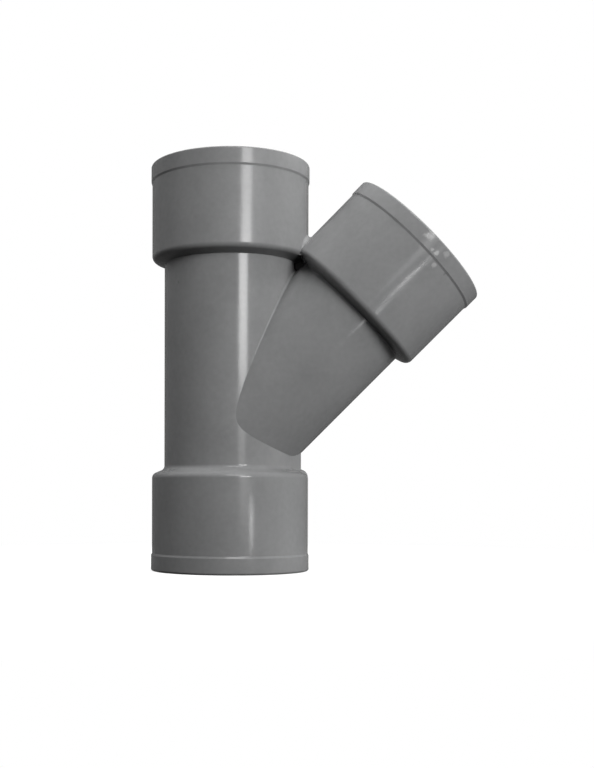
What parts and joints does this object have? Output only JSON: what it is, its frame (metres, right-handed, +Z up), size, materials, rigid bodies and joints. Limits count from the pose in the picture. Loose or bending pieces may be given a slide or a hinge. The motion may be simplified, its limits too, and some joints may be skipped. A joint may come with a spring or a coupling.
{
  "type": "lateral wye fitting",
  "caption": "Moulded plastic pipe fitting that joins a slanting branch into a straight run, with a glued socket for pipe at each end.",
  "frame": {"origin": "middle of the lower mouth of the run, in the plane of its rim", "axes": "+Z up along the run, +X towards the side where the branch rises, Y across the fitting's plane of symmetry"},
  "size_m": [0.1474, 0.0724, 0.1846],
  "materials": {
    "grey_plastic": "smooth moulded, satin to glossy, faintly mottled"
  },
  "bodies": {
    "root": {"wye_fitting": "grey_plastic"}
  },
  "joints": []
}
